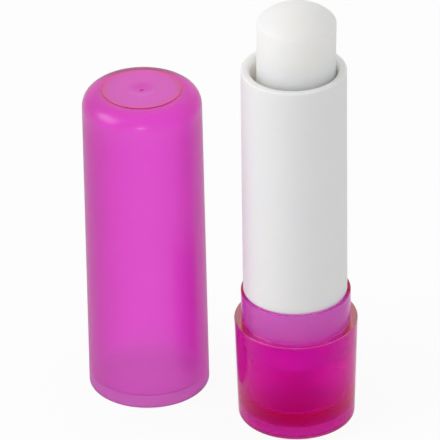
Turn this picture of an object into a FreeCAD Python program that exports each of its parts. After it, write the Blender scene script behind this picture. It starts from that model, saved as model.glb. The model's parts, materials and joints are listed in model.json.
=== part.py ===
import FreeCAD, Part
import math
import os

import Sketcher

# A twist-up lip balm stick in millimetres, standing on the origin with +Z up, its cap set down beside it.
# The base carries a lead screw. The barrel snaps into the base and turns on it, guide ribs in its bore
# turn the carrier with it, and the carrier's nut climbs the screw and lifts the balm.

# The driving sizes. Radii grow outwards from the barrel's bore by walls and clearances.
SIZES = {
    # One short overrun serves every cut and every piece of a feature that is buried in another
    "overrun": 0.2,
    # Barrel, the white tube
    "barrel_bore_radius": 6.6,
    "barrel_wall": 1.4,
    "barrel_taper": 0.18,
    "barrel_length": 38.2,
    "lip_rounding": 0.6,
    "lip_bevel": 0.2,
    "neck_wall": 0.7,
    "neck_length": 10.4,
    "snap_lift": 1.5,
    "snap_height": 0.2,
    "snap_width": 0.8,
    "guide_height": 0.45,
    "guide_width": 1.2,
    "guide_stop": 4.0,
    "guide_count": 4,
    # Base, the clear tinted foot
    "turn_clearance": 0.1,
    "collar_wall": 1.03,
    "collar_height": 5.1,
    "collar_rounding": 0.4,
    "ledge_width": 1.07,
    "base_height": 16.9,
    "base_taper": 0.46,
    "base_floor": 1.6,
    "base_floor_bevel": 0.6,
    "foot_ring": 2.2,
    "foot_recess": 0.5,
    "foot_rounding": 0.8,
    "socket_height": 2.2,
    "socket_wall": 1.0,
    # Lead screw, pressed into the socket of the base
    "screw_foot_flats": 4.0,
    "screw_foot_length": 1.9,
    "screw_foot_gap": 0.2,
    "screw_seat_clearance": 0.02,
    "screw_flange_overhang": 0.8,
    "screw_flange": 0.8,
    "screw_length": 45.7,
    "screw_core_radius": 1.7,
    "screw_tip_chamfer": 0.6,
    "thread_pitch": 5.0,
    "thread_depth": 0.8,
    "thread_root": 2.2,
    "thread_crest": 1.4,
    "thread_runout": 0.5,
    # Carrier, the cup that the screw lifts
    "carrier_clearance": 0.15,
    "carrier_disc": 1.2,
    "petal_wall": 0.5,
    "petal_height": 6.0,
    "slot_clearance": 0.15,
    "nut_wall": 1.1,
    "nut_length": 7.0,
    "nut_margin": 0.2,
    "thread_clearance": 0.2,
    "turns_below_nut": 2.5,
    "turns_to_bottom": 2.25,
    # Balm
    "balm_seat_clearance": 0.03,
    "balm_tip": 6.45,
    "balm_dome": 2.5,
    "balm_rounding": 0.4,
    "balm_hole_clearance": 0.5,
    # Cap
    "cap_fit": 0.05,
    "cap_wall": 0.97,
    "cap_taper": 0.32,
    "cap_height": 51.7,
    "cap_top": 1.2,
    "cap_shoulder": 2.5,
    "cap_inner_bevel": 1.0,
    "cap_mouth_bevel": 0.2,
    "cap_lead_in": 0.35,
    "cap_lead_in_height": 2.0,
    "cap_seat_length": 5.0,
    "cap_disc_step": 0.12,
    "cap_disc_land": 0.1,
    "gate_dimple_radius": 1.1,
    "gate_dimple_depth": 0.25,
    "gate_radius": 0.4,
    "gate_height": 0.3,
    "cap_stand_gap": 6.1,
    "cap_stand_angle": 156.55,
}

# What follows from them. A height is counted from its own piece's seat, unless its name starts with world.
DERIVED = {
    # Barrel, counted from the shoulder that sits over the collar
    "barrel_foot_radius": "barrel_bore_radius + barrel_wall",
    "barrel_top_radius": "barrel_foot_radius - barrel_taper",
    "neck_radius": "barrel_bore_radius + neck_wall",
    "neck_end": "-neck_length",
    "snap_radius": "neck_radius + snap_height",
    "snap_low": "neck_end + snap_lift - snap_width / 2",
    "snap_high": "neck_end + snap_lift + snap_width / 2",
    "snap_foot": "snap_low - snap_height",
    "snap_head": "snap_high + snap_height",
    "guide_tip_radius": "barrel_bore_radius - guide_height",
    "guide_root_radius": "barrel_bore_radius + overrun",
    "guide_half": "guide_width / 2",
    "guide_length": "neck_length + barrel_length - guide_stop",
    # Base, counted from the surface that it stands on
    "base_bore_radius": "neck_radius + turn_clearance",
    "collar_radius": "base_bore_radius + collar_wall",
    "collar_top": "base_height + collar_height",
    "base_rim_radius": "collar_radius + ledge_width",
    "base_foot_radius": "base_rim_radius - base_taper",
    "foot_recess_radius": "base_foot_radius - foot_ring",
    "base_floor_top": "foot_recess + base_floor",
    "socket_top": "base_floor_top + socket_height",
    "screw_foot_corner": "screw_foot_flats / 2 / cos(30 deg)",
    "socket_corner": "(screw_foot_flats / 2 + screw_seat_clearance) / cos(30 deg)",
    "socket_radius": "socket_corner + socket_wall",
    "socket_depth": "screw_foot_length + screw_foot_gap",
    "world_shoulder": "collar_top + turn_clearance",
    "catch_radius": "snap_radius + turn_clearance",
    "catch_low": "world_shoulder + snap_low - turn_clearance",
    "catch_high": "world_shoulder + snap_high + turn_clearance",
    "catch_foot": "catch_low - snap_height",
    "catch_head": "catch_high + snap_height",
    # Lead screw, counted from the underside of its flange
    "screw_flange_radius": "screw_foot_corner + screw_flange_overhang",
    "screw_tip_radius": "screw_core_radius - screw_tip_chamfer",
    "screw_shank": "screw_length - screw_tip_chamfer",
    "thread_crest_radius": "screw_core_radius + thread_depth",
    "thread_bury_radius": "screw_core_radius - overrun",
    "flank_slope": "(thread_root - thread_crest) / 2 / thread_depth",
    "thread_bury_half": "thread_root / 2 + flank_slope * overrun",
    "thread_start": "screw_flange + thread_runout + thread_root / 2",
    "thread_rise": "screw_shank - thread_runout - thread_root / 2 - thread_start",
    "thread_bury_low": "thread_start - thread_bury_half",
    "thread_crest_low": "thread_start - thread_crest / 2",
    "thread_crest_high": "thread_start + thread_crest / 2",
    "thread_bury_high": "thread_start + thread_bury_half",
    # Carrier, counted from the underside of its disc
    "carrier_radius": "barrel_bore_radius - carrier_clearance",
    "petal_radius": "carrier_radius - petal_wall",
    "petal_top": "carrier_disc + petal_height",
    "slot_half": "guide_half + slot_clearance",
    "slot_floor_radius": "min(guide_tip_radius - slot_clearance; petal_radius - overrun)",
    "slot_mouth_radius": "carrier_radius + overrun",
    "nut_bore_radius": "thread_crest_radius + thread_clearance",
    "nut_radius": "nut_bore_radius + nut_wall",
    "nut_end": "-nut_length",
    "lug_tip_radius": "screw_core_radius + thread_clearance",
    "lug_bury_radius": "nut_bore_radius + overrun",
    "lug_tip_half": "(thread_pitch - thread_root) / 2 - thread_clearance * (1 - flank_slope)",
    "lug_bury_half": "lug_tip_half + flank_slope * (lug_bury_radius - lug_tip_radius)",
    "lug_start": "nut_end + nut_margin + lug_bury_half",
    "lug_rise": "nut_length + carrier_disc - 2 * (nut_margin + lug_bury_half)",
    "lug_bury_low": "lug_start - lug_bury_half",
    "lug_tip_low": "lug_start - lug_tip_half",
    "lug_tip_high": "lug_start + lug_tip_half",
    "lug_bury_high": "lug_start + lug_bury_half",
    "world_carrier": "socket_top + thread_start + turns_below_nut * thread_pitch - lug_start",
    # Balm, counted from the carrier's disc
    "balm_radius": "petal_radius - balm_seat_clearance",
    "balm_hole_radius": "thread_crest_radius + balm_hole_clearance",
    "world_balm": "world_carrier + carrier_disc",
    "world_balm_bottom": "world_balm - turns_to_bottom * thread_pitch",
    "balm_hole_end": "socket_top + screw_length + balm_hole_clearance - world_balm_bottom",
    "balm_length": "balm_hole_end + balm_tip",
    "balm_apex": "balm_length + balm_dome",
    # Cap, counted from its mouth
    "cap_seat_radius": "collar_radius + cap_fit",
    "cap_mouth_radius": "cap_seat_radius + cap_wall",
    "cap_top_radius": "cap_mouth_radius - cap_taper",
    "cap_inner_top_radius": "cap_top_radius - cap_wall",
    "cap_lead_in_radius": "cap_seat_radius + cap_lead_in",
    "cap_seat_head": "cap_lead_in_height + cap_seat_length",
    "cap_shoulder_height": "cap_height - cap_disc_step",
    "cap_inner_height": "cap_height - cap_top",
    "cap_disc_radius": "cap_top_radius - cap_shoulder - cap_disc_land",
    "gate_dimple_floor": "cap_height - gate_dimple_depth",
    "gate_top": "gate_dimple_floor + gate_height",
    "cap_stand_distance": "base_rim_radius + cap_mouth_radius + cap_stand_gap",
    "world_cap_x": "cap_stand_distance * cos(cap_stand_angle * 1 deg)",
    "world_cap_y": "cap_stand_distance * sin(cap_stand_angle * 1 deg)",
}

# The ends and the centre of a side in a sketch, and the sketch's own axes
START, END, CENTRE = 1, 2, 3
ORIGIN, ACROSS, UP = -1, -1, -2
AXIS = "axis"
HEXAGON_SIDES = 6
FULL_TURN = 360
MATCH_SHARE = 1e-6

doc = FreeCAD.newDocument("lip_balm_stick")
sheet = doc.addObject("Spreadsheet::Sheet", "sizes")
rows = {alias: str(size) for alias, size in SIZES.items()}
rows.update({alias: f"={rule}" for alias, rule in DERIVED.items()})
for row, (alias, content) in enumerate(rows.items(), start=1):
    sheet.set(f"A{row}", alias)
    sheet.set(f"B{row}", content)
    sheet.setAlias(f"B{row}", alias)
doc.recompute()


def number(cell):
    """The value of a cell of the sheet, turned over where its name has a minus, or zero on an axis."""
    if cell == AXIS:
        return 0
    return -sheet.get(cell[1:]) if cell.startswith("-") else sheet.get(cell)


def formula(cell):
    """The same value as an expression that stays bound to the sheet."""
    return f"-sizes.{cell[1:]}" if cell.startswith("-") else f"sizes.{cell}"


def new_body(name, **place):
    """A body whose seat is placed by cells of the sheet, such as z="socket_top"."""
    body = doc.addObject("PartDesign::Body", name)
    body.Label = name
    for direction, cell in place.items():
        body.setExpression(f"Placement.Base.{direction}", formula(cell))
    return body


def origin_feature(body, role):
    """One of the body's own origin planes or axes."""
    return next(feature for feature in body.Origin.OriginFeatures if feature.Role == role)


def new_sketch(body, name, role, height=None):
    """An empty sketch on a plane of the body, lifted along the plane's normal by a cell."""
    sketch = body.newObject("Sketcher::SketchObject", name)
    sketch.AttachmentSupport = [(origin_feature(body, role), "")]
    sketch.MapMode = "FlatFace"
    if height:
        sketch.setExpression("AttachmentOffset.Base.z", formula(height))
    return sketch


def hold(sketch, side, kind, cell, axis):
    """Holds the start of a side at a cell's distance from the origin, or on the axis."""
    if cell == AXIS:
        sketch.addConstraint(Sketcher.Constraint("PointOnObject", side, START, axis))
        return
    place = sketch.addConstraint(Sketcher.Constraint(kind, ORIGIN, START, side, START, number(cell)))
    sketch.setExpression(f"Constraints[{place}]", formula(cell))


def outline(sketch, corners, dome=None):
    """Draws a closed outline through corners that are pairs of cells.

    The side that starts at the corner numbered dome is an arc whose centre lies on the upright axis.
    """
    points = [FreeCAD.Vector(number(x), number(y), 0) for x, y in corners]
    for side, (start, end) in enumerate(zip(points, points[1:] + points[:1])):
        if side == dome:
            centre_height = ((start.x**2 + start.y**2) - end.y**2) / (2 * (start.y - end.y))
            centre = FreeCAD.Vector(0, centre_height, 0)
            circle = Part.Circle(centre, FreeCAD.Vector(0, 0, 1), end.y - centre_height)
            from_angle = math.atan2(start.y - centre_height, start.x)
            sketch.addGeometry(Part.ArcOfCircle(circle, from_angle, math.pi / 2), False)
            sketch.addConstraint(Sketcher.Constraint("PointOnObject", side, CENTRE, UP))
        else:
            sketch.addGeometry(Part.LineSegment(start, end), False)
    for side, (x, y) in enumerate(corners):
        before = (side - 1) % len(corners)
        sketch.addConstraint(Sketcher.Constraint("Coincident", before, END, side, START))
        hold(sketch, side, "DistanceX", x, UP)
        hold(sketch, side, "DistanceY", y, ACROSS)
    return sketch


def hexagon(sketch, corner_cell):
    """Draws a hexagon on a construction circle whose radius is a cell."""
    radius = number(corner_cell)
    angles = [math.tau * side / HEXAGON_SIDES for side in range(HEXAGON_SIDES)]
    points = [FreeCAD.Vector(radius * math.cos(angle), radius * math.sin(angle), 0) for angle in angles]
    for start, end in zip(points, points[1:] + points[:1]):
        sketch.addGeometry(Part.LineSegment(start, end), False)
    rim = sketch.addGeometry(Part.Circle(FreeCAD.Vector(0, 0, 0), FreeCAD.Vector(0, 0, 1), radius), True)
    sketch.addConstraint(Sketcher.Constraint("Coincident", rim, CENTRE, ORIGIN, START))
    size = sketch.addConstraint(Sketcher.Constraint("Radius", rim, radius))
    sketch.setExpression(f"Constraints[{size}]", formula(corner_cell))
    for side in range(HEXAGON_SIDES):
        before = (side - 1) % HEXAGON_SIDES
        sketch.addConstraint(Sketcher.Constraint("Coincident", before, END, side, START))
        sketch.addConstraint(Sketcher.Constraint("PointOnObject", side, START, rim))
        if side:
            sketch.addConstraint(Sketcher.Constraint("Equal", 0, side))
    sketch.addConstraint(Sketcher.Constraint("PointOnObject", 0, START, ACROSS))
    return sketch


def revolve(body, name, sketch):
    """Turns a sketch right round the body's upright axis."""
    turned = body.newObject("PartDesign::Revolution", name)
    turned.Profile = sketch
    turned.ReferenceAxis = (sketch, ["V_Axis"])
    turned.Angle = FULL_TURN
    return turned


def pad(body, name, sketch, length, down=False):
    """Raises a sketch by a cell's length."""
    raised = body.newObject("PartDesign::Pad", name)
    raised.Profile = sketch
    raised.Reversed = down
    raised.setExpression("Length", formula(length))
    return raised


def pocket(body, name, sketch, length, up=False):
    """Cuts a sketch into the body by a cell's length, and checks that the cut met the solid."""
    doc.recompute()
    before = body.Shape.Volume
    cut = body.newObject("PartDesign::Pocket", name)
    cut.Profile = sketch
    cut.Reversed = up
    cut.setExpression("Length", formula(length))
    doc.recompute()
    if not body.Shape.Volume < before:
        raise RuntimeError(f"{name} cuts nothing")
    return cut


def around(body, name, feature, count):
    """Repeats a feature evenly about the upright axis."""
    ring = body.newObject("PartDesign::PolarPattern", name)
    ring.Originals = [feature]
    ring.Axis = (origin_feature(body, "Z_Axis"), [""])
    ring.Angle = FULL_TURN
    ring.setExpression("Occurrences", formula(count))
    body.Tip = ring
    return ring


def helix(body, name, sketch, rise):
    """Winds a tooth's section up the upright axis, right-handed, by a cell's rise."""
    wound = body.newObject("PartDesign::AdditiveHelix", name)
    wound.Profile = sketch
    wound.ReferenceAxis = (sketch, ["V_Axis"])
    wound.Mode = "pitch-height-angle"
    wound.setExpression("Pitch", formula("thread_pitch"))
    wound.setExpression("Height", formula(rise))
    return wound


def is_ring(edge, radius, height):
    """Whether an edge is a circle of this radius at this height."""
    if edge.Degenerated or not isinstance(edge.Curve, Part.Circle):
        return False
    match = MATCH_SHARE * number("collar_top")
    return abs(edge.Curve.Radius - radius) < match and abs(edge.Curve.Center.z - height) < match


def soften_ring(body, name, radius, height, size, kind="Fillet", measure="Radius"):
    """Rounds the circular edge at a cell's radius and height, or cuts it back where kind is Chamfer."""
    doc.recompute()
    base = body.Tip
    rings = enumerate(base.Shape.Edges, start=1)
    edges = [f"Edge{i}" for i, edge in rings if is_ring(edge, number(radius), number(height))]
    if not edges:
        raise RuntimeError(f"{name} finds no edge")
    softened = body.newObject(f"PartDesign::{kind}", name)
    softened.Base = (base, edges)
    softened.setExpression(measure, formula(size))
    return softened


def bevel_ring(body, name, radius, height, size):
    """Cuts the circular edge at a cell's radius and height back by a cell's size."""
    return soften_ring(body, name, radius, height, size, kind="Chamfer", measure="Size")


# Base: one thick clear moulding with a collar for the cap, a bore for the barrel's neck and a screw socket
base = new_body("base")
base_section = [
    (AXIS, "foot_recess"),
    ("foot_recess_radius", "foot_recess"),
    ("foot_recess_radius", AXIS),
    ("base_foot_radius", AXIS),
    ("base_rim_radius", "base_height"),
    ("collar_radius", "base_height"),
    ("collar_radius", "collar_top"),
    ("base_bore_radius", "collar_top"),
    ("base_bore_radius", "catch_head"),
    ("catch_radius", "catch_high"),
    ("catch_radius", "catch_low"),
    ("base_bore_radius", "catch_foot"),
    ("base_bore_radius", "base_floor_top"),
    ("socket_radius", "base_floor_top"),
    ("socket_radius", "socket_top"),
    (AXIS, "socket_top"),
]
revolve(base, "base_moulding", outline(new_sketch(base, "base_section", "XZ_Plane"), base_section))
socket_shape = hexagon(new_sketch(base, "socket_shape", "XY_Plane", height="socket_top"), "socket_corner")
pocket(base, "screw_socket", socket_shape, "socket_depth")
soften_ring(base, "foot_edge", "base_foot_radius", AXIS, "foot_rounding")
bevel_ring(base, "floor_edge", "base_bore_radius", "base_floor_top", "base_floor_bevel")
soften_ring(base, "collar_edge", "collar_radius", "collar_top", "collar_rounding")

# Lead screw: a hexagonal foot under a flange, and a core with one right-handed thread
lead_screw = new_body("lead_screw", z="socket_top")
core_section = [
    (AXIS, AXIS),
    ("screw_flange_radius", AXIS),
    ("screw_flange_radius", "screw_flange"),
    ("screw_core_radius", "screw_flange"),
    ("screw_core_radius", "screw_shank"),
    ("screw_tip_radius", "screw_length"),
    (AXIS, "screw_length"),
]
revolve(lead_screw, "screw_core", outline(new_sketch(lead_screw, "core_section", "XZ_Plane"), core_section))
foot_shape = hexagon(new_sketch(lead_screw, "foot_shape", "XY_Plane"), "screw_foot_corner")
pad(lead_screw, "screw_foot", foot_shape, "screw_foot_length", down=True)
thread_section = [
    ("thread_bury_radius", "thread_bury_low"),
    ("thread_crest_radius", "thread_crest_low"),
    ("thread_crest_radius", "thread_crest_high"),
    ("thread_bury_radius", "thread_bury_high"),
]
tooth = outline(new_sketch(lead_screw, "thread_section", "XZ_Plane"), thread_section)
helix(lead_screw, "screw_thread", tooth, "thread_rise")

# Barrel: a tapered tube with a thinner neck, a snap bead on the neck and guide ribs down the bore
barrel = new_body("barrel", z="world_shoulder")
barrel_section = [
    ("barrel_bore_radius", "neck_end"),
    ("neck_radius", "neck_end"),
    ("neck_radius", "snap_foot"),
    ("snap_radius", "snap_low"),
    ("snap_radius", "snap_high"),
    ("neck_radius", "snap_head"),
    ("neck_radius", AXIS),
    ("barrel_foot_radius", AXIS),
    ("barrel_top_radius", "barrel_length"),
    ("barrel_bore_radius", "barrel_length"),
]
revolve(barrel, "barrel_tube", outline(new_sketch(barrel, "barrel_section", "XZ_Plane"), barrel_section))
soften_ring(barrel, "lip_edge", "barrel_top_radius", "barrel_length", "lip_rounding")
bevel_ring(barrel, "lip_inner_edge", "barrel_bore_radius", "barrel_length", "lip_bevel")
guide_section = [
    ("guide_tip_radius", "-guide_half"),
    ("guide_root_radius", "-guide_half"),
    ("guide_root_radius", "guide_half"),
    ("guide_tip_radius", "guide_half"),
]
guide_shape = outline(new_sketch(barrel, "guide_section", "XY_Plane", height="neck_end"), guide_section)
around(barrel, "guide_ribs", pad(barrel, "guide_rib", guide_shape, "guide_length"), "guide_count")

# Carrier: a cup of petals round the balm's foot, slotted for the guide ribs, over a nut with a thread lug
carrier = new_body("carrier", z="world_carrier")
carrier_section = [
    ("nut_bore_radius", "nut_end"),
    ("nut_radius", "nut_end"),
    ("nut_radius", AXIS),
    ("carrier_radius", AXIS),
    ("carrier_radius", "petal_top"),
    ("petal_radius", "petal_top"),
    ("petal_radius", "carrier_disc"),
    ("nut_bore_radius", "carrier_disc"),
]
revolve(carrier, "carrier_cup", outline(new_sketch(carrier, "carrier_section", "XZ_Plane"), carrier_section))
slot_section = [
    ("slot_floor_radius", "-slot_half"),
    ("slot_mouth_radius", "-slot_half"),
    ("slot_mouth_radius", "slot_half"),
    ("slot_floor_radius", "slot_half"),
]
slot_shape = outline(new_sketch(carrier, "slot_section", "XY_Plane"), slot_section)
slot = pocket(carrier, "guide_slot", slot_shape, "petal_top", up=True)
around(carrier, "guide_slots", slot, "guide_count")
lug_section = [
    ("lug_tip_radius", "lug_tip_low"),
    ("lug_bury_radius", "lug_bury_low"),
    ("lug_bury_radius", "lug_bury_high"),
    ("lug_tip_radius", "lug_tip_high"),
]
lug = outline(new_sketch(carrier, "lug_section", "XZ_Plane"), lug_section)
helix(carrier, "thread_lug", lug, "lug_rise")

# Balm: a cast bullet with a domed end, hollow up the middle where the screw stands when it is wound down
balm = new_body("balm", z="world_balm")
balm_section = [
    ("balm_hole_radius", AXIS),
    ("balm_radius", AXIS),
    ("balm_radius", "balm_length"),
    (AXIS, "balm_apex"),
    (AXIS, "balm_hole_end"),
    ("balm_hole_radius", "balm_hole_end"),
]
dome_side = balm_section.index(("balm_radius", "balm_length"))
bullet = outline(new_sketch(balm, "balm_section", "XZ_Plane"), balm_section, dome=dome_side)
revolve(balm, "balm_bullet", bullet)
soften_ring(balm, "balm_rim", "balm_radius", "balm_length", "balm_rounding")

# Cap: a thin tapered shell with a lead-in at its mouth, a straight seat for the collar and a gate mark on top
cap = new_body("cap", x="world_cap_x", y="world_cap_y")
cap_section = [
    ("cap_lead_in_radius", AXIS),
    ("cap_mouth_radius", AXIS),
    ("cap_top_radius", "cap_shoulder_height"),
    ("cap_disc_radius", "cap_shoulder_height"),
    ("cap_disc_radius", "cap_height"),
    ("gate_dimple_radius", "cap_height"),
    ("gate_dimple_radius", "gate_dimple_floor"),
    ("gate_radius", "gate_dimple_floor"),
    ("gate_radius", "gate_top"),
    (AXIS, "gate_top"),
    (AXIS, "cap_inner_height"),
    ("cap_inner_top_radius", "cap_inner_height"),
    ("cap_seat_radius", "cap_seat_head"),
    ("cap_seat_radius", "cap_lead_in_height"),
]
revolve(cap, "cap_shell", outline(new_sketch(cap, "cap_section", "XZ_Plane"), cap_section))
soften_ring(cap, "cap_shoulder_edge", "cap_top_radius", "cap_shoulder_height", "cap_shoulder")
bevel_ring(cap, "cap_inner_edge", "cap_inner_top_radius", "cap_inner_height", "cap_inner_bevel")
bevel_ring(cap, "cap_mouth_edge", "cap_mouth_radius", AXIS, "cap_mouth_bevel")

doc.recompute()
failed = [item.Label for item in doc.Objects if {"Invalid", "Error"} & set(item.State)]
if failed:
    raise RuntimeError(f"failed to build: {failed}")
pieces = [base, lead_screw, barrel, carrier, balm, cap]
for piece in pieces:
    shape = piece.Shape
    if shape.isNull() or not shape.isValid() or len(shape.Solids) != 1:
        raise RuntimeError(f"{piece.Label} is not one valid solid")
os.makedirs("parts", exist_ok=True)
for piece in pieces:
    piece.Shape.exportStep(f"parts/{piece.Label}.step")
    print(piece.Label, round(piece.Shape.Volume, 1), piece.Shape.BoundBox)
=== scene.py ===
import json
import math

import bpy
import numpy as np
from mathutils import Matrix, Vector


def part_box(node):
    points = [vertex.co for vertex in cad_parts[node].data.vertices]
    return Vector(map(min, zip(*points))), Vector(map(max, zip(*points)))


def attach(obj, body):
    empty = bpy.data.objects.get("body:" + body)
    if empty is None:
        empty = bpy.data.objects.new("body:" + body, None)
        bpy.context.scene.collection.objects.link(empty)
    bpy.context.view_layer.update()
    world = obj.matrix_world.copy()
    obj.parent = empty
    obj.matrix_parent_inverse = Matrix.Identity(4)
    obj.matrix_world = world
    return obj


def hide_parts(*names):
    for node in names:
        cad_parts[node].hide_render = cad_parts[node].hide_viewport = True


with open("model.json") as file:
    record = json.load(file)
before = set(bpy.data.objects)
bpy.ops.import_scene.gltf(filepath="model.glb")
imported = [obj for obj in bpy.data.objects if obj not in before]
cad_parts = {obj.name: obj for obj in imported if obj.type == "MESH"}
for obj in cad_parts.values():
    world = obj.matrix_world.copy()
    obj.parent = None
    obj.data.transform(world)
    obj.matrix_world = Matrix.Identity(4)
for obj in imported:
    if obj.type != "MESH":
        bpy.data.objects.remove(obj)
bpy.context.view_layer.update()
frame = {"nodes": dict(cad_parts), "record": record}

# Base
# One thick clear tinted moulding that the stick stands on, with a tapered foot, a ledge and the thinner
# collar that the cap grips. It is polished outside and matt in its bore, where the barrel's neck turns, and
# a boss on its floor holds the lead screw.
base_low, base_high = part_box("base")
mounts = {mount["name"]: mount for mount in frame["record"]["mounts"]}
collar_radius = mounts["cap_collar"]["dims"]["r_mm"] / 1000
collar_top = base_high.z
rim_radius = min(*base_high.xy, *(-base_low).xy)
rim_height = 0.0169
foot_taper = 0.00046
foot_radius = rim_radius - foot_taper
foot_ring = 0.0018
foot_recess = 0.00155
foot_post_radius = 0.0034
foot_post = 0.0005
foot_rounding = 0.00012
collar_rounding = 0.00018
ledge_fillet = 0.00004
moulded_edge = 0.00012
collar_wall = 0.00103
bore_radius = collar_radius - collar_wall
relief_depth = 0.00045
relief_radius = bore_radius + relief_depth
relief_heights = (0.0163, 0.0168)
floor_top = 0.0037
floor_rounding = 0.001
boss_radius = 0.00333
boss_top = 0.0043
socket_corner = 0.00233
socket_floor = 0.0022
catch_depth = 0.0002
catch_radius = bore_radius + catch_depth
catch_heights = (0.0105, 0.0125, 0.0139, 0.0159)
catch_rounding = 0.006
polished_roughness = 0.06
haze = 0.05
matt_roughness = 0.85
arc_steps = 8
run_steps = 9


def rounded_section(corners, closed=False):
    """The points (radius, height) of a section through corners (radius, height, rounding).

    A rounded corner becomes the arc that touches both of its sides. The arc starts and ends away from the
    corner by its rounding over the tangent of half the corner's angle. A straight run gets points that crowd
    towards its ends as a cosine does, so that the shading turns at the arcs alone.
    """
    places = np.array([corner[:2] for corner in corners])
    sides = np.roll(places, -1, axis=0) - places
    ways = sides / np.linalg.norm(sides, axis=1, keepdims=True)
    stretches = []
    for place, back, ahead, (_, _, rounding) in zip(places, -np.roll(ways, 1, axis=0), ways, corners):
        if not rounding:
            stretches.append(place[None])
            continue
        half = math.acos(np.clip(back @ ahead, -1, 1)) / 2
        middle = place + (back + ahead) / np.linalg.norm(back + ahead) * rounding / math.sin(half)
        first = place + back * rounding / math.tan(half) - middle
        last = place + ahead * rounding / math.tan(half) - middle
        sweep = math.pi - 2 * half
        share = np.linspace(0, 1, arc_steps + 1)[:, None]
        arc = np.sin((1 - share) * sweep) * first + np.sin(share * sweep) * last
        stretches.append(middle + arc / math.sin(sweep))
    crowd = (1 - np.cos(np.linspace(0, math.pi, run_steps + 1)[1:-1, None])) / 2
    pairs = zip(stretches, stretches[1:] + stretches[:1])
    joined = [np.vstack([here, here[-1] + crowd * (there[0] - here[-1])]) for here, there in pairs]
    return np.vstack(joined if closed else [*joined[:-1], stretches[-1]])


def turned_mesh(name, section, columns=256, axis=(0, 0), closed=False, shape=None):
    """A section carried once round an upright axis: (r, z) at angle a stands at (r cos a, r sin a, z).

    The section runs up on the outside, so that faces point outwards. A shape gives new radii from the radii,
    heights and angles of the grid. A row of points on the axis becomes one point.
    """
    angle = np.arange(columns) * math.tau / columns
    radius, height = (np.repeat(part[:, None], columns, axis=1) for part in section.T)
    if shape:
        radius = shape(radius, height, angle)
    across = [axis[0] + radius * np.cos(angle), axis[1] + radius * np.sin(angle)]
    points = np.stack([*across, height], axis=-1).reshape(-1, 3)
    rows = np.arange(len(points)).reshape(radius.shape)
    rows = np.where(section[:, :1] == 0, rows[:, :1], rows)
    low, high = (rows, np.roll(rows, -1, axis=0)) if closed else (rows[:-1], rows[1:])
    corners = np.stack([low, np.roll(low, -1, axis=1), np.roll(high, -1, axis=1), high], axis=-1)
    corners = corners.reshape(-1, 4)
    kept, corners = np.unique(corners, return_inverse=True)
    corners = corners.reshape(-1, 4)
    from_pole = corners[:, 0] == corners[:, 1]
    to_pole = corners[:, 2] == corners[:, 3]
    faces = [corners[~from_pole & ~to_pole], corners[from_pole][:, 1:], corners[to_pole][:, :3]]
    mesh = bpy.data.meshes.new(name)
    mesh.from_pydata(points[kept], [], [face for group in faces for face in group.tolist()])
    mesh.shade_smooth()
    return mesh


def hexagon(angle):
    """The radius of a hexagon with corners at 1, the first at angle 0. Its flats are at cos 30 degrees."""
    flat = math.pi / 6
    return math.cos(flat) / np.cos(angle % (2 * flat) - flat)


def socket_shape(radius, height, angle):
    """Makes the rows inside the socket's mouth hexagonal."""
    return np.where(radius <= socket_corner, radius * hexagon(angle), radius)


class Wire:
    """An output of a node. Sums, differences and products add Math nodes, and add makes any other node."""

    def __init__(self, tree, socket=None):
        self.tree = tree
        self.socket = socket

    def add(self, kind, settings=(), inputs=(), output=0):
        """Adds a node with its settings and its inputs' values or wires, and gives one of its outputs."""
        node = self.tree.nodes.new(kind)
        for name, value in dict(settings).items():
            setattr(node, name, value)
        for name, value in dict(inputs).items():
            if isinstance(value, Wire):
                self.tree.links.new(value.socket, node.inputs[name])
            else:
                node.inputs[name].default_value = value
        return Wire(self.tree, node.outputs[output]) if node.outputs else None

    def math(self, operation, *values):
        return self.add("ShaderNodeMath", {"operation": operation}, dict(enumerate(values)))

    def __add__(self, other):
        return self.math("ADD", self, other)

    def __radd__(self, other):
        return self.math("ADD", other, self)

    def __sub__(self, other):
        return self.math("SUBTRACT", self, other)

    def __rsub__(self, other):
        return self.math("SUBTRACT", other, self)

    def __mul__(self, other):
        return self.math("MULTIPLY", self, other)

    def __rmul__(self, other):
        return self.math("MULTIPLY", other, self)


def new_finish(name):
    """An empty material and the start of its nodes."""
    material = bpy.data.materials.new(name)
    material.use_nodes = True
    material.node_tree.nodes.clear()
    return material, Wire(material.node_tree)


def grain(start, size, detail=2.0):
    """Noise on the piece's own coordinates whose patches are about a size across, from 0 to 1."""
    place = start.add("ShaderNodeTexCoord", output="Object")
    return start.add("ShaderNodeTexNoise", inputs={"Vector": place, "Scale": 1 / size, "Detail": detail})


def blend(share, first, second):
    """A colour that passes from the first to the second as the share goes from 0 to 1."""
    return share.add("ShaderNodeMix", {"data_type": "RGBA"}, {0: share, 6: first, 7: second}, output=2)


def absorb(start, per_metre):
    """The volume of a tinted moulding from how fast it takes up red, green and blue on each metre."""
    most = max(per_metre)
    tint = (*(1 - loss / most for loss in per_metre), 1)
    return start.add("ShaderNodeVolumeAbsorption", inputs={"Color": tint, "Density": most})


def along(start, axis):
    """The place along one axis, on the piece's own coordinates."""
    place = start.add("ShaderNodeTexCoord", output="Object")
    return start.add("ShaderNodeSeparateXYZ", inputs={0: place}, output=axis)


def away_from(start, axis):
    """The distance from an upright axis, on the piece's own coordinates."""
    place = start.add("ShaderNodeTexCoord", output="Object")
    flat = start.add("ShaderNodeVectorMath", {"operation": "MULTIPLY"}, {0: place, 1: (1, 1, 0)})
    ends = {0: flat, 1: (*axis, 0)}
    return start.add("ShaderNodeVectorMath", {"operation": "DISTANCE"}, ends, output="Value")


def within(start, axis, radius):
    """1 inside an upright cylinder round an axis, and 0 outside it."""
    away = away_from(start, axis)
    return away.math("LESS_THAN", away, radius)


def ramp(value, first, last):
    """A share that rises smoothly from 0 where the value is the first to 1 where it is the last."""
    inputs = {"Value": value, "From Min": first, "From Max": last}
    return value.add("ShaderNodeMapRange", {"interpolation_type": "SMOOTHSTEP"}, inputs)


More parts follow.
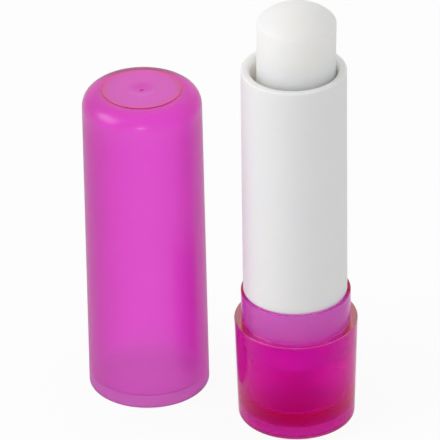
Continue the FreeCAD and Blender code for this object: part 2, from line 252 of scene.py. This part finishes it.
clear_tinted, start = new_finish("clear_tinted_moulding")
flow = grain(start, 0.004)
height = along(start, "Z")
in_cup = within(start, (0, 0), relief_radius + moulded_edge)
dull = height.math("MAXIMUM", in_cup, height.math("LESS_THAN", height, moulded_edge / 2))
from_ledge = height.math("ABSOLUTE", height - rim_height)
surface = start.add("ShaderNodeBsdfPrincipled", inputs={
    "Base Color": blend(flow, (0.98, 0.96, 0.98, 1), (1, 1, 1, 1)),
    "Roughness": polished_roughness + haze * grain(start, 0.0006) + matt_roughness * dull,
    "IOR": 1.49,
    "Specular Tint": (1, 0, 0.5, 1),
    "Transmission Weight": 1.0,
    "Coat Weight": height.math("LESS_THAN", from_ledge, moulded_edge),
    "Coat Roughness": 0.12,
    "Coat IOR": 2.1,
    "Normal": start.add("ShaderNodeBump", inputs={"Height": flow, "Strength": 0.1, "Distance": 0.00002}),
})
tint = absorb(start, (4, 1150, 130))
start.add("ShaderNodeOutputMaterial", inputs={"Surface": surface, "Volume": tint})

base_section = rounded_section([
    (0, foot_post, 0),
    (foot_post_radius, foot_post, moulded_edge),
    (foot_post_radius, foot_recess, moulded_edge),
    (foot_radius - foot_ring, foot_recess, moulded_edge),
    (foot_radius - foot_ring, 0, moulded_edge),
    (foot_radius, 0, foot_rounding),
    (rim_radius, rim_height, moulded_edge),
    (collar_radius, rim_height, ledge_fillet),
    (collar_radius, collar_top, collar_rounding),
    (relief_radius, collar_top, moulded_edge),
    (relief_radius, relief_heights[1], moulded_edge),
    (bore_radius, relief_heights[0], moulded_edge),
    (bore_radius, catch_heights[3], catch_rounding),
    (catch_radius, catch_heights[2], catch_rounding),
    (catch_radius, catch_heights[1], catch_rounding),
    (bore_radius, catch_heights[0], catch_rounding),
    (bore_radius, floor_top, floor_rounding),
    (boss_radius, floor_top, moulded_edge),
    (boss_radius, boss_top, moulded_edge),
    (socket_corner, boss_top, 0),
    (socket_corner, socket_floor, 0),
    (0, socket_floor, 0),
])


def new_piece(name, mesh, material, body, node):
    """An object of a mesh and a material that rides on a body in place of a node."""
    mesh.materials.append(material)
    piece = bpy.data.objects.new(name, mesh)
    bpy.context.scene.collection.objects.link(piece)
    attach(piece, body)
    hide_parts(node)


base_mesh = turned_mesh("base_moulding", base_section, shape=socket_shape)
new_piece("base_moulding", base_mesh, clear_tinted, "base", "base")

# Lead screw
# A clear tinted spindle with one right-handed thread. Its hexagonal foot is pressed into the base's boss, so
# it stands still while the barrel turns.
frame["nodes"]["lead_screw"].material_slots[0].material = clear_tinted

# Barrel
# An opaque white moulded tube, drawn from its mould with a little taper. Its neck drops into the base, where
# a bead snaps into a groove, and ribs down its bore turn the carrier. Its thin lip lets light through, and
# near the lip its bore is painted lighter and warmer, a painted light that lifts the shade in the gap round
# the balm.
barrel_low, barrel_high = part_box("barrel")
barrel_radius = min(*barrel_high.xy, *(-barrel_low).xy)
barrel_taper = 0.00006
barrel_axis = (-0.00009, 0)
running_gap = 0.0001
shoulder_height = collar_top + running_gap
tube_radius = 0.0066
neck_wall = 0.0007
neck_radius = tube_radius + neck_wall
bead_depth = 0.0002
bead_radius = neck_radius + bead_depth
bead_heights = (0.0126, 0.0128, 0.0136, 0.0138)
lip_rounding = 0.0003
lip_inner_rounding = 0.0006
rib_count = 4
rib_height = 0.00045
rib_half_width = 0.0006
rib_stop = 0.004
rib_top = barrel_high.z - rib_stop
rib_taper = 0.00027
rib_taper_start = 0.038
painted_light_depth = 0.02
painted_light_start = barrel_high.z - painted_light_depth


def rib_shape(radius, height, angle):
    """Lowers the bore's radius on the ribs: within half a rib's width of its middle, measured round the bore.

    A rib loses height evenly from where its taper starts to its top, which leaves room for the leaning balm.
    """
    step = math.tau / rib_count
    aside = np.abs((angle + step / 2) % step - step / 2) * tube_radius
    on_rib = (radius <= tube_radius) & (height <= rib_top) & (aside < rib_half_width)
    tapered = np.clip((height - rib_taper_start) / (rib_top - rib_taper_start), 0, 1)
    return np.where(on_rib, tube_radius - rib_height + rib_taper * tapered, radius)


barrel_section = rounded_section([
    (tube_radius, barrel_low.z, 0),
    (neck_radius, barrel_low.z, moulded_edge),
    (neck_radius, bead_heights[0], 0),
    (bead_radius, bead_heights[1], 0),
    (bead_radius, bead_heights[2], 0),
    (neck_radius, bead_heights[3], 0),
    (neck_radius, shoulder_height, 0),
    (barrel_radius, shoulder_height, moulded_edge),
    (barrel_radius - barrel_taper, barrel_high.z, lip_rounding),
    (tube_radius, barrel_high.z, lip_inner_rounding),
    (tube_radius, rib_top + moulded_edge, 0),
    (tube_radius, rib_top, 0),
], closed=True)

satin_white, start = new_finish("satin_white_moulding")
speck = grain(start, 0.00025, detail=3)
satin = {
    "Base Color": blend(grain(start, 0.006), (0.86, 0.86, 0.865, 1), (0.88, 0.88, 0.88, 1)),
    "Roughness": 0.36 + 0.12 * speck,
    "IOR": 1.49,
    "Subsurface Weight": 1.0,
    "Normal": start.add("ShaderNodeBump", inputs={"Height": speck, "Strength": 0.15, "Distance": 0.00002}),
}
solid = satin | {"Subsurface Radius": (1.0, 0.93, 0.8), "Subsurface Scale": 0.0005}
# Painted light: a lighter, warmer copy of the finish for the bore near the lip, lifting the shade in the gap
# round the balm; its light also scatters deeper there.
painted_light_satin = satin | {
    "Base Color": blend(speck, (0.96, 0.94, 0.87, 1), (0.98, 0.96, 0.9, 1)),
    "Subsurface Radius": (1.0, 0.9, 0.65),
    "Subsurface Scale": 0.004,
}
wall, painted_light_lip = (start.add("ShaderNodeBsdfPrincipled", inputs=inputs) for inputs in (solid, painted_light_satin))
in_painted_light_lip = ramp(along(start, "Z"), painted_light_start, rib_top) * within(start, barrel_axis, tube_radius + moulded_edge)
surface = start.add("ShaderNodeMixShader", inputs={0: in_painted_light_lip, 1: wall, 2: painted_light_lip})
start.add("ShaderNodeOutputMaterial", inputs={"Surface": surface})

barrel_mesh = turned_mesh("barrel_tube", barrel_section, axis=barrel_axis, closed=True, shape=rib_shape)
new_piece("barrel_tube", barrel_mesh, satin_white, "barrel", "barrel")

# Carrier
# A small white moulding under the balm, with petals round the balm's foot and a nut on the lead screw. It
# slides up the barrel's ribs.
frame["nodes"]["carrier"].material_slots[0].material = satin_white

# Balm
# Wax cast into the carrier and domed by the filling mould, soft enough to let a little light in and to lean a
# little. A hole up its middle clears the lead screw.
balm_low, balm_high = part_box("balm")
balm_radius = min(*balm_high.xy, *(-balm_low).xy)
balm_dome = 0.0025
balm_rim = balm_high.z - balm_dome
balm_rounding = 0.0009
balm_lean = 0.00045
balm_hole_radius = 0.003
balm_hole_end = 0.06175
dome_start_share = 0.88
dome_steps = 40
dome_radius = (balm_radius**2 + balm_dome**2) / (2 * balm_dome)


def dome_height(radius):
    """The height of the sphere that passes through the rim and the apex, at a radius."""
    return balm_high.z - dome_radius + np.sqrt(dome_radius**2 - radius**2)


dome_start = dome_start_share * balm_radius
dome_radii = np.linspace(dome_start, 0, dome_steps)[1:]
bullet_section = rounded_section([
    (0, balm_hole_end, 0),
    (balm_hole_radius, balm_hole_end, moulded_edge),
    (balm_hole_radius, balm_low.z, moulded_edge),
    (balm_radius, balm_low.z, moulded_edge),
    (balm_radius, balm_rim, balm_rounding),
    (dome_start, dome_height(dome_start), 0),
])
bullet_section = np.vstack([bullet_section, np.stack([dome_radii, dome_height(dome_radii)], axis=1)])

wax, start = new_finish("cast_wax")
cast = grain(start, 0.003, detail=4)
surface = start.add("ShaderNodeBsdfPrincipled", inputs={
    "Base Color": blend(cast, (0.865, 0.86, 0.852, 1), (0.895, 0.892, 0.886, 1)),
    "Roughness": 0.42 + 0.16 * cast,
    "IOR": 1.44,
    "Subsurface Weight": 1.0,
    "Subsurface Radius": (1.0, 0.9, 0.75),
    "Subsurface Scale": 0.005,
    "Normal": start.add("ShaderNodeBump", inputs={"Height": cast, "Strength": 0.12, "Distance": 0.00006}),
})
start.add("ShaderNodeOutputMaterial", inputs={"Surface": surface})

bullet_mesh = turned_mesh("balm_bullet", bullet_section)
bullet_points = np.empty((len(bullet_mesh.vertices), 3), np.float32)
bullet_mesh.vertices.foreach_get("co", bullet_points.ravel())
height_share = (bullet_points[:, 2] - balm_low.z) / (balm_high.z - balm_low.z)
bullet_points[:, 0] += balm_lean * height_share**2
bullet_mesh.vertices.foreach_set("co", bullet_points.ravel())
new_piece("balm_bullet", bullet_mesh, wax, "carrier", "balm")

# Cap
# A thin frosted translucent shell, moulded through a gate in the middle of its top, which is glossier. A ring
# round its disc is painted a redder, darker shade, standing in for light's long path through the top's edge.
# Its seat grips the base's collar. Here it stands on its mouth beside the stick.
cap_low, cap_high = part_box("cap")
cap_axis = ((cap_low + cap_high) / 2).xy
cap_radius = min((cap_high - cap_low).xy) / 2
cap_taper = 0.00032
cap_top = 0.0517
cap_shoulder = 0.0027
cap_inner_top = 0.0505
cap_wall = 0.00097
cap_inner_radius = cap_radius - cap_taper - cap_wall
cap_inner_rounding = 0.0025
cap_mouth_rounding = 0.00006
seat_radius = mounts["cap_seat"]["dims"]["r_mm"] / 1000
seat_foot = 0.002
seat_step = 0.0002
seat_head = 0.007
lead_in = 0.00035
lead_in_radius = seat_radius + lead_in
disc_radius = 0.00605
disc_step = 0.00012
gloss_start_depth = 0.0055
gloss_full_depth = 0.003
shoulder_gloss = 0.3
disc_gloss = 0.4
dimple_radius = 0.0022
dimple_floor = 0.05158
dimple_foot_radius = 0.0007
gate_radius = 0.0003
gate_edge = 0.00004
dimple_rounding = 0.001
ring_inner = 0.0048
ring_middle = 0.0061
ring_outer = 0.0067
ring_depth = 0.001

cap_section = rounded_section([
    (0, cap_inner_top, 0),
    (cap_inner_radius, cap_inner_top, cap_inner_rounding),
    (seat_radius, seat_head, 0),
    (seat_radius, seat_foot, 0),
    (seat_radius + seat_step, seat_foot, 0),
    (lead_in_radius, 0, moulded_edge),
    (cap_radius, 0, cap_mouth_rounding),
    (cap_radius - cap_taper, cap_top - disc_step, cap_shoulder),
    (disc_radius, cap_top - disc_step, gate_edge),
    (disc_radius, cap_top, gate_edge),
    (dimple_radius, cap_top, dimple_rounding),
    (dimple_foot_radius, dimple_floor, dimple_rounding),
    (gate_radius, dimple_floor, gate_edge),
    (gate_radius, cap_high.z, gate_edge),
    (0, cap_high.z, 0),
])

frosted_tinted, start = new_finish("frosted_tinted_moulding")
frost = grain(start, 0.0002, detail=3)
cloud = blend(grain(start, 0.005), (0.93, 0.95, 0.93, 1), (0.97, 0.98, 0.97, 1))
height = along(start, "Z")
away = away_from(start, cap_axis)
# Painted shade: a redder, darker ring in the base colour round the disc, standing in for light's long path
# through the top's edge.
across_painted_shade_ring = ramp(away, ring_inner, ring_middle) * ramp(away, ring_outer, ring_middle)
painted_shade_ring = across_painted_shade_ring * height.math("GREATER_THAN", height, cap_top - ring_depth)
on_shoulder = ramp(height, cap_top - gloss_start_depth, cap_top - gloss_full_depth)
on_disc = height.math("GREATER_THAN", height, cap_top - disc_step / 2)
surface = start.add("ShaderNodeBsdfPrincipled", inputs={
    "Base Color": blend(painted_shade_ring, cloud, (1, 0.95, 0.42, 1)),
    "Roughness": 0.3 + 0.08 * frost,
    "IOR": 1.49,
    "Transmission Weight": 1.0,
    "Coat Weight": shoulder_gloss * on_shoulder + disc_gloss * on_disc,
    "Coat Roughness": 0.2,
    "Normal": start.add("ShaderNodeBump", inputs={"Height": frost, "Strength": 0.1, "Distance": 0.00001}),
})
tint = absorb(start, (2, 1250, 105))
start.add("ShaderNodeOutputMaterial", inputs={"Surface": surface, "Volume": tint})

cap_mesh = turned_mesh("cap_shell", cap_section, axis=cap_axis)
new_piece("cap_shell", cap_mesh, frosted_tinted, "cap", "cap")

# Floor and light
# A plain white floor and a white surround, white to the camera and less so through the clear pieces and in
# reflections. Under the base and the cap the floor's white is cut to a small share over each footprint, a
# painted shadow, so the floor there is mostly matt and takes the tint of the light there.
floor_half = 2.0
floor_drop = 0.00002
floor_white_share = 0.92
through_share = 0.82
shaded_share = 0.17
mirror_share = 0.2
surround_light = 0.59
back_light = 0.18
top_light = 0.14
surround_through = 0.85
surround_mirrored = 0.25


def seen(start, through, mirrored):
    """1 on rays from the camera, a share on those through a clear piece or mirrored, and 0 on others."""
    kinds = ("Camera", "Glossy", "Transmission")
    rays = [start.add("ShaderNodeLightPath", output=f"Is {kind} Ray") for kind in kinds]
    camera, glossy, transmission = rays
    return camera.math("MAXIMUM", camera, transmission * through + (1 - transmission) * glossy * mirrored)


floor_mesh = bpy.data.meshes.new("floor")
floor_corners = floor_half * np.array([(-1, -1, 0), (1, -1, 0), (1, 1, 0), (-1, 1, 0)]) - (0, 0, floor_drop)
floor_mesh.from_pydata(floor_corners, [], [(0, 1, 2, 3)])
floor = bpy.data.objects.new("floor", floor_mesh)
bpy.context.scene.collection.objects.link(floor)

white_floor, start = new_finish("white_floor")
matt = start.add("ShaderNodeBsdfDiffuse", inputs={"Color": (0.9, 0.9, 0.9, 1)})
base_shadow_disc = within(start, (0, 0), foot_radius)
cap_shadow_disc = within(start, cap_axis, cap_radius)
glow = start.add("ShaderNodeEmission", inputs={"Color": (1, 1, 1, 1), "Strength": 1.0})
# Painted shadow: over each footprint the white seen through the clear pieces drops to the shaded share.
through = through_share - (through_share - shaded_share) * (base_shadow_disc + cap_shadow_disc)
white_share = floor_white_share * seen(start, through, mirror_share)
mixed = start.add("ShaderNodeMixShader", inputs={0: white_share, 1: matt, 2: glow})
start.add("ShaderNodeOutputMaterial", inputs={"Surface": mixed})
floor_mesh.materials.append(white_floor)

world = bpy.data.worlds.new("white_surround")
world.use_nodes = True
world.node_tree.nodes.clear()
start = Wire(world.node_tree)
way = start.add("ShaderNodeTexCoord", output="Generated")
behind, above = (start.add("ShaderNodeSeparateXYZ", inputs={0: way}, output=part) for part in ("Y", "Z"))
studio = surround_light + back_light * behind + top_light * above
level = studio + (1 - studio) * seen(start, surround_through, surround_mirrored)
surround = start.add("ShaderNodeBackground", inputs={"Color": (1, 1, 1, 1), "Strength": level})
start.add("ShaderNodeOutputWorld", inputs={"Surface": surround})
bpy.context.scene.world = world


def softbox(name, place, aim, size, watts):
    """A square soft light at a place that faces an aim."""
    lamp = bpy.data.lights.new(name, "AREA")
    lamp.size = size
    lamp.energy = watts
    light = bpy.data.objects.new(name, lamp)
    bpy.context.scene.collection.objects.link(light)
    place, aim = Vector(place), Vector(aim)
    turn = (aim - place).to_track_quat("-Z", "Y").to_matrix().to_4x4()
    light.matrix_world = Matrix.Translation(place) @ turn


stick_middle = (0, 0, 0.035)
softbox("key_left", (-0.7, -0.15, 0.45), stick_middle, 0.5, 2.3)
softbox("front", (-0.05, -0.85, 0.24), stick_middle, 0.09, 0.7)

# Camera
# It looks down on the stick and the cap from the front with a long lens, a little turned about its own axis.
camera_aim = Vector((-0.011424, 0, 0.034234))
camera_distance = 0.652403
camera_pitch = math.radians(30.861)
camera_roll = math.radians(-0.999)
focal_pixels = 4300
image_pixels = 440

camera_data = bpy.data.cameras.new("camera")
camera_data.lens = camera_data.sensor_width * focal_pixels / image_pixels
camera = bpy.data.objects.new("camera", camera_data)
bpy.context.scene.collection.objects.link(camera)
tilt = Matrix.Rotation(math.pi / 2 - camera_pitch, 4, "X") @ Matrix.Rotation(camera_roll, 4, "Z")
camera.matrix_world = Matrix.Translation(camera_aim) @ tilt @ Matrix.Translation((0, 0, camera_distance))
bpy.context.scene.camera = camera
bpy.context.scene.view_settings.view_transform = "Standard"
